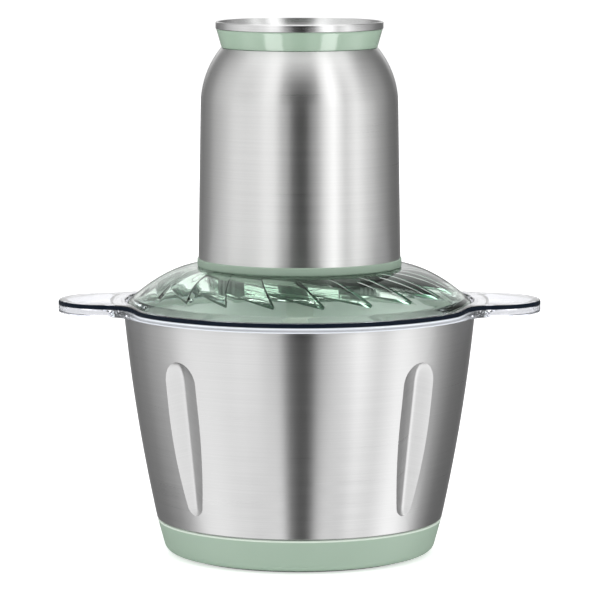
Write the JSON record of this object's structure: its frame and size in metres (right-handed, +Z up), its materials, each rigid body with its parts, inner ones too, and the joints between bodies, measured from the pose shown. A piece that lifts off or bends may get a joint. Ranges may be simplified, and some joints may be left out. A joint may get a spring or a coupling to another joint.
{
  "type": "electric food chopper",
  "caption": "Electric food chopper: brushed steel motor head on a clear green lid, steel bowl with clear ears and lift-out blades.",
  "frame": {"origin": "on the table, under the middle of the whole object's box, which is the bowl's axis", "axes": "+Z up along the axis of the bowl, lid and motor; +X through one clear ear; -Y is the front"},
  "size_m": [0.277, 0.2064, 0.3057],
  "materials": {
    "bowl_steel": "satin, brushed round the bowl",
    "shell_steel": "satin, brushed round the shell",
    "cup_steel": "bright pressed steel",
    "pin_steel": "ground",
    "blade_steel": "satin with ground edges",
    "bearing_steel": "polished",
    "screw_steel": "zinc plated",
    "spring_steel": "drawn wire",
    "green_plastic": "soft semi-gloss",
    "button_plastic": "soft semi-gloss",
    "coupling_plastic": "moulded",
    "clear_plastic": "clear, polished",
    "clear_green_plastic": "clear tinted, polished",
    "seal_silicone": "translucent silicone",
    "foot_rubber": "matt",
    "gland_rubber": "matt",
    "white_nylon": "moulded",
    "dark_phenolic": "moulded",
    "cast_frame": "die cast",
    "laminated_iron": "stacked laminations",
    "copper_winding": "enamelled copper wire",
    "commutator_copper": "turned copper bars",
    "brush_carbon": "pressed carbon",
    "plunger_red": "moulded"
  },
  "bodies": {
    "bowl": {"bowl": "bowl_steel", "bowl_pin": "pin_steel", "pin_washer": "pin_steel", "base_cover": "green_plastic", "foot_ring": "foot_rubber", "handle_ring": "clear_plastic"},
    "blade_carrier": {"thrust_washer": "white_nylon"},
    "blade": {"blade_hub": "white_nylon", "pin_bush": "dark_phenolic", "lower_blades": "blade_steel", "blade_sleeve": "white_nylon", "upper_blades": "blade_steel", "blade_nut": "white_nylon"},
    "lid": {"lid": "clear_green_plastic", "lid_seal": "seal_silicone"},
    "head": {"base_ring": "green_plastic", "motor_shell": "shell_steel", "neck_collar": "green_plastic", "top_cup": "cup_steel", "cord_gland": "gland_rubber", "lower_frame": "cast_frame", "upper_frame": "cast_frame", "field_stack": "laminated_iron", "field_coils": "copper_winding", "lower_bearing": "bearing_steel", "upper_bearing": "bearing_steel", "frame_screws": "screw_steel", "through_bolts": "screw_steel", "brush_holders": "dark_phenolic", "carbon_brushes": "brush_carbon", "switch_plate": "white_nylon", "plate_screws": "screw_steel", "low_speed_switch": "dark_phenolic", "high_speed_switch": "dark_phenolic", "low_speed_spring": "spring_steel", "high_speed_spring": "spring_steel"},
    "rotor": {"motor_shaft": "pin_steel", "armature_core": "laminated_iron", "armature_winding": "copper_winding", "commutator": "commutator_copper", "cooling_fan": "white_nylon", "drive_coupling": "coupling_plastic"},
    "low_button": {"low_speed_button": "button_plastic"},
    "high_button": {"high_speed_button": "button_plastic"},
    "low_plunger": {"low_speed_plunger": "plunger_red"},
    "high_plunger": {"high_speed_plunger": "plunger_red"}
  },
  "joints": [
    {"name": "blade_lift", "type": "slide", "parent": "bowl", "child": "blade_carrier", "axis": [0, 0, 1], "range_m": [0, 0.06]},
    {"name": "blade_spin", "type": "hinge", "parent": "blade_carrier", "child": "blade", "pos_m": [0, 0, 0.03], "axis": [0, 0, 1], "continuous": true},
    {"name": "lid_lift", "type": "slide", "parent": "blade_carrier", "child": "lid", "axis": [0, 0, 1], "range_m": [0, 0.07]},
    {"name": "head_lift", "type": "slide", "parent": "lid", "child": "head", "axis": [0, 0, 1], "range_m": [0, 0.05]},
    {"name": "rotor_spin", "type": "hinge", "parent": "head", "child": "rotor", "pos_m": [0, 0, 0.218], "axis": [0, 0, 1], "continuous": true},
    {"name": "low_speed_press", "type": "slide", "parent": "head", "child": "low_button", "axis": [0, 0, -1], "range_m": [0, 0.003], "stiffness_N_per_m": 400, "springref_m": -0.002, "deforming": ["low_speed_spring"]},
    {"name": "high_speed_press", "type": "slide", "parent": "head", "child": "high_button", "axis": [0, 0, -1], "range_m": [0, 0.003], "stiffness_N_per_m": 400, "springref_m": -0.002, "deforming": ["high_speed_spring"]},
    {"name": "low_plunger_press", "type": "slide", "parent": "head", "child": "low_plunger", "axis": [0, 0, -1], "range_m": [0, 0.003]},
    {"name": "high_plunger_press", "type": "slide", "parent": "head", "child": "high_plunger", "axis": [0, 0, -1], "range_m": [0, 0.003]}
  ],
  "couplings": [
    {"joint": "blade_spin", "follows": "rotor_spin", "ratio": 1},
    {"joint": "low_plunger_press", "follows": "low_speed_press", "ratio": 1},
    {"joint": "high_plunger_press", "follows": "high_speed_press", "ratio": 1}
  ]
}
